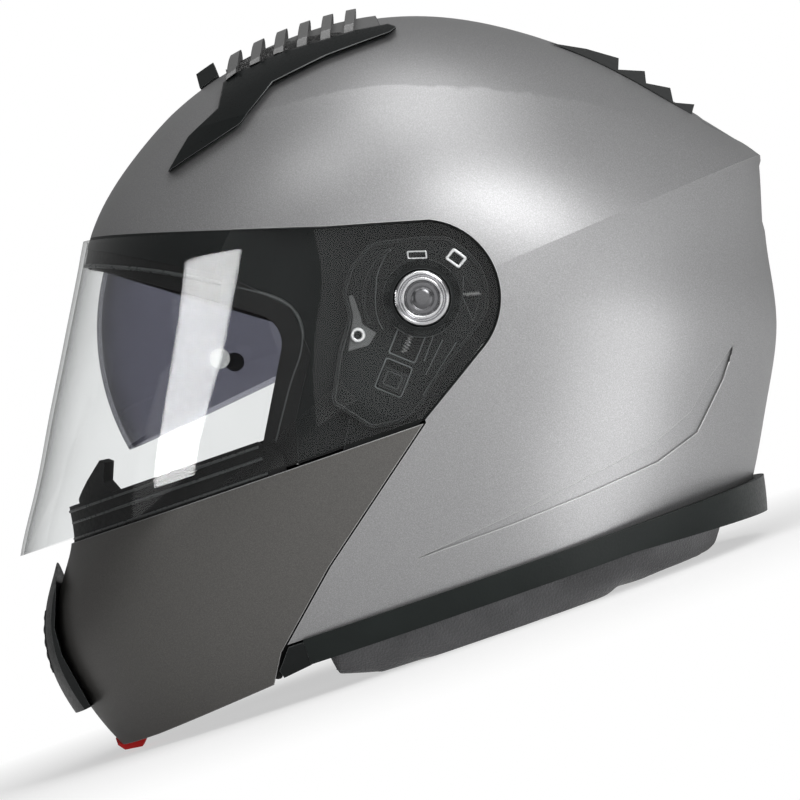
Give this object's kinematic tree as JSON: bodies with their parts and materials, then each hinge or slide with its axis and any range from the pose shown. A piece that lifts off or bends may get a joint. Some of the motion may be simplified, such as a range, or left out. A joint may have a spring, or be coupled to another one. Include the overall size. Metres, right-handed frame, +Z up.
{
  "type": "modular motorcycle helmet",
  "caption": "Flip-up full-face riding helmet with a hinged chin bar, clear visor, drop-down sun visor, moulded vents and soft lining.",
  "frame": {"origin": "on the ground plane that the neck roll stands on, under the middle of the helmet's length and width", "axes": "+X to the wearer's left, +Y to the back, +Z up"},
  "size_m": [0.2624, 0.3573, 0.2709],
  "materials": {
    "shell_paint": "satin metallic grey paint",
    "chin_paint": "satin metallic grey paint",
    "clear": "clear polycarbonate",
    "smoke": "tinted polycarbonate",
    "foam": "black expanded foam",
    "lining": "brushed black fabric",
    "webbing": "woven black webbing",
    "black_plastic": "moulded black plastic",
    "rubber_black": "black rubber",
    "chrome_ring": "bright metal",
    "steel": "bright steel",
    "red_plastic": "red plastic",
    "grille_grey": "satin grey plastic"
  },
  "bodies": {
    "helmet": {"cheek_pad_left": "lining", "cheek_pad_right": "lining", "chin_strap_left": "webbing", "chin_strap_right": "webbing", "crown_pad": "lining", "eps_liner": "foam", "eyeport_gasket": "rubber_black", "latch_cover_left": "black_plastic", "latch_cover_right": "black_plastic", "neck_roll": "lining", "outer_shell": "shell_paint", "pivot_hub_left": "steel", "pivot_hub_right": "steel", "pivot_knob_left": "chrome_ring", "pivot_knob_right": "chrome_ring", "rear_vent": "black_plastic", "rim_trim": "black_plastic", "sun_pivot_left": "steel", "sun_pivot_right": "steel", "top_vent_arm_left": "black_plastic", "top_vent_arm_right": "black_plastic", "top_vent_grille": "grille_grey", "visor_base_left": "black_plastic", "visor_base_right": "black_plastic"},
    "chin_bar": {"chin_bar_shell": "chin_paint", "chin_bar_liner": "foam", "chin_arm_left": "black_plastic", "chin_arm_right": "black_plastic", "visor_gasket_lower": "rubber_black", "breath_guard": "rubber_black", "chin_vent_frame": "black_plastic"},
    "visor": {"visor": "clear", "visor_hub_left": "black_plastic", "visor_hub_right": "black_plastic", "insert_pin_left": "black_plastic", "insert_pin_right": "black_plastic"},
    "sun_visor": {"sun_visor": "smoke"},
    "top_vent_slider": {"top_vent_slider": "black_plastic"},
    "release_button": {"release_button": "red_plastic"}
  },
  "joints": [
    {"name": "chin_bar_flip", "type": "hinge", "parent": "helmet", "child": "chin_bar", "pos_m": [0, 0.0211, 0.141], "axis": [-1, 0, 0], "range_deg": [0, 75]},
    {"name": "visor_swing", "type": "hinge", "parent": "chin_bar", "child": "visor", "pos_m": [0, 0.0211, 0.141], "axis": [-1, 0, 0], "range_deg": [0, 48]},
    {"name": "sun_visor_swing", "type": "hinge", "parent": "helmet", "child": "sun_visor", "pos_m": [0, -0.0159, 0.142], "axis": [-1, 0, 0], "range_deg": [0, 42]},
    {"name": "top_vent_slide", "type": "slide", "parent": "helmet", "child": "top_vent_slider", "axis": [0, 0.9063, 0.4226], "range_m": [0, 0.006]},
    {"name": "release_press", "type": "slide", "parent": "chin_bar", "child": "release_button", "axis": [0, 0, 1], "range_m": [0, 0.002], "stiffness_N_per_m": 400}
  ]
}
